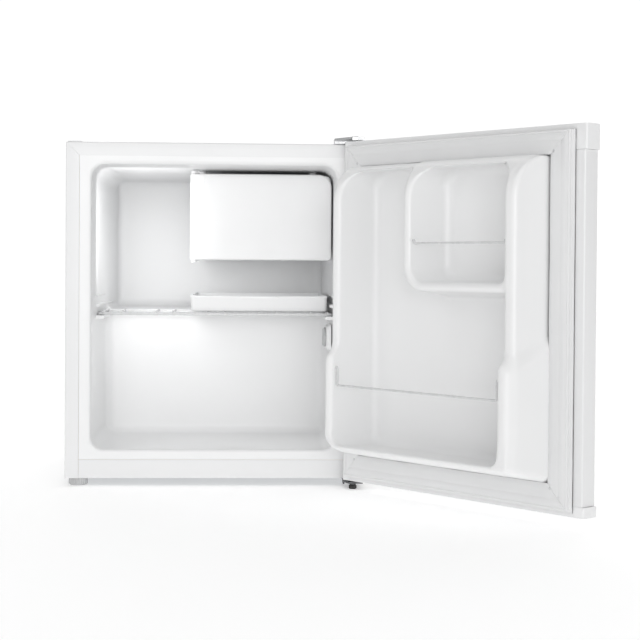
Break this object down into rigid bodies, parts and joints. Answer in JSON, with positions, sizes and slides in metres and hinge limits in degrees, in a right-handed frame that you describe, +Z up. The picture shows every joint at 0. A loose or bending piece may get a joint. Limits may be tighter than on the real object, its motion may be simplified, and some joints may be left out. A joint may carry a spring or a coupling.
{
  "type": "mini fridge",
  "caption": "White table-top mini fridge with its single door open, a stepped cavity with a freezer compartment, wire shelf, drip tray and a door liner with bottle and upper pockets.",
  "frame": {"origin": "middle of the cabinet's underside (the floor panel, above the feet)", "axes": "+Z up, -Y out of the cabinet's front, +X towards the hinge side, the right seen from the front"},
  "size_m": [0.7147, 0.7951, 0.5196],
  "materials": {
    "painted_steel": "satin",
    "liner_plastic": "satin",
    "white_plastic": "satin",
    "gasket_vinyl": "satin",
    "foam": "matte",
    "coated_wire": "gloss",
    "zinc_steel": "satin",
    "dark_steel": "satin",
    "galvanised_steel": "satin",
    "black_paint": "gloss",
    "black_rubber": "matte",
    "copper": "satin",
    "aluminium": "satin",
    "grey_plastic": "matte"
  },
  "bodies": {
    "cabinet": {"outer_shell": "painted_steel", "back_panel": "galvanised_steel", "bottom_panel": "galvanised_steel", "front_bottom_rail": "painted_steel", "inner_liner": "liner_plastic", "insulation_foam": "foam", "condenser_coil": "copper", "hinge_hole_plug": "white_plastic", "top_hinge_bracket": "zinc_steel", "top_hinge_pin": "zinc_steel", "lower_hinge_bracket": "dark_steel", "lower_hinge_pin": "dark_steel", "top_hinge_screw_1": "zinc_steel", "top_hinge_screw_2": "zinc_steel", "lower_hinge_screw_1": "dark_steel", "lower_hinge_screw_2": "dark_steel", "rear_left_foot": "grey_plastic", "rear_right_foot": "grey_plastic", "compressor_base_plate": "galvanised_steel", "compressor": "black_paint", "compressor_grommet_1": "black_rubber", "compressor_grommet_2": "black_rubber", "compressor_grommet_3": "black_rubber", "compressor_grommet_4": "black_rubber", "relay_cover": "white_plastic", "suction_tube": "copper", "discharge_tube": "copper", "filter_dryer": "copper", "cord_gland": "black_rubber", "freezer_box": "aluminium", "freezer_frame": "white_plastic", "freezer_hanger_1": "white_plastic", "freezer_hanger_2": "white_plastic", "freezer_hanger_3": "white_plastic", "freezer_hanger_4": "white_plastic", "thermostat_housing": "white_plastic"},
    "door": {"door_skin": "painted_steel", "door_foam": "foam", "door_top_cap": "white_plastic", "door_bottom_cap": "white_plastic", "door_liner": "liner_plastic", "door_gasket": "gasket_vinyl", "liner_screw_1": "zinc_steel", "liner_screw_2": "zinc_steel", "liner_screw_3": "zinc_steel", "liner_screw_4": "zinc_steel", "door_top_bush": "grey_plastic", "door_bottom_bush": "grey_plastic"},
    "freezer_flap": {"freezer_flap": "white_plastic"},
    "wire_shelf": {"wire_shelf": "coated_wire"},
    "drip_tray": {"drip_tray": "white_plastic"},
    "thermostat_knob": {"thermostat_knob": "grey_plastic"},
    "bottle_guard": {"bottle_guard": "coated_wire"},
    "pocket_guard": {"pocket_guard": "coated_wire"},
    "front_left_foot": {"front_left_foot": "grey_plastic"},
    "front_right_foot": {"front_right_foot": "black_rubber"}
  },
  "joints": [
    {"name": "door_hinge", "type": "hinge", "parent": "cabinet", "child": "door", "pos_m": [0.2065, -0.236, 0.25], "axis": [0, 0, 1], "range_deg": [-130, 5]},
    {"name": "flap_hinge", "type": "hinge", "parent": "cabinet", "child": "freezer_flap", "pos_m": [-0.0335, -0.1275, 0.389], "axis": [0, 0, -1], "range_deg": [0, 100]},
    {"name": "shelf_slide", "type": "slide", "parent": "cabinet", "child": "wire_shelf", "axis": [0, -1, 0], "range_m": [0, 0.1]},
    {"name": "tray_slide", "type": "slide", "parent": "wire_shelf", "child": "drip_tray", "axis": [0, -1, 0], "range_m": [0, 0.07]},
    {"name": "knob_turn", "type": "hinge", "parent": "cabinet", "child": "thermostat_knob", "pos_m": [0.169, -0.0985, 0.205], "axis": [-1, 0, 0], "range_deg": [0, 270]},
    {"name": "bottle_guard_swing", "type": "hinge", "parent": "door", "child": "bottle_guard", "pos_m": [0.27123, -0.44538, 0.175], "axis": [-0.6428, 0.766, 0], "range_deg": [-80, 120]},
    {"name": "pocket_guard_swing", "type": "hinge", "parent": "door", "child": "pocket_guard", "pos_m": [0.32461, -0.49033, 0.3525], "axis": [-0.6428, 0.766, 0], "range_deg": [-60, 60]},
    {"name": "left_foot_level", "type": "slide", "parent": "cabinet", "child": "front_left_foot", "axis": [0, 0, -1], "range_m": [0, 0.006]},
    {"name": "right_foot_level", "type": "slide", "parent": "cabinet", "child": "front_right_foot", "axis": [0, 0, -1], "range_m": [0, 0.006]}
  ]
}
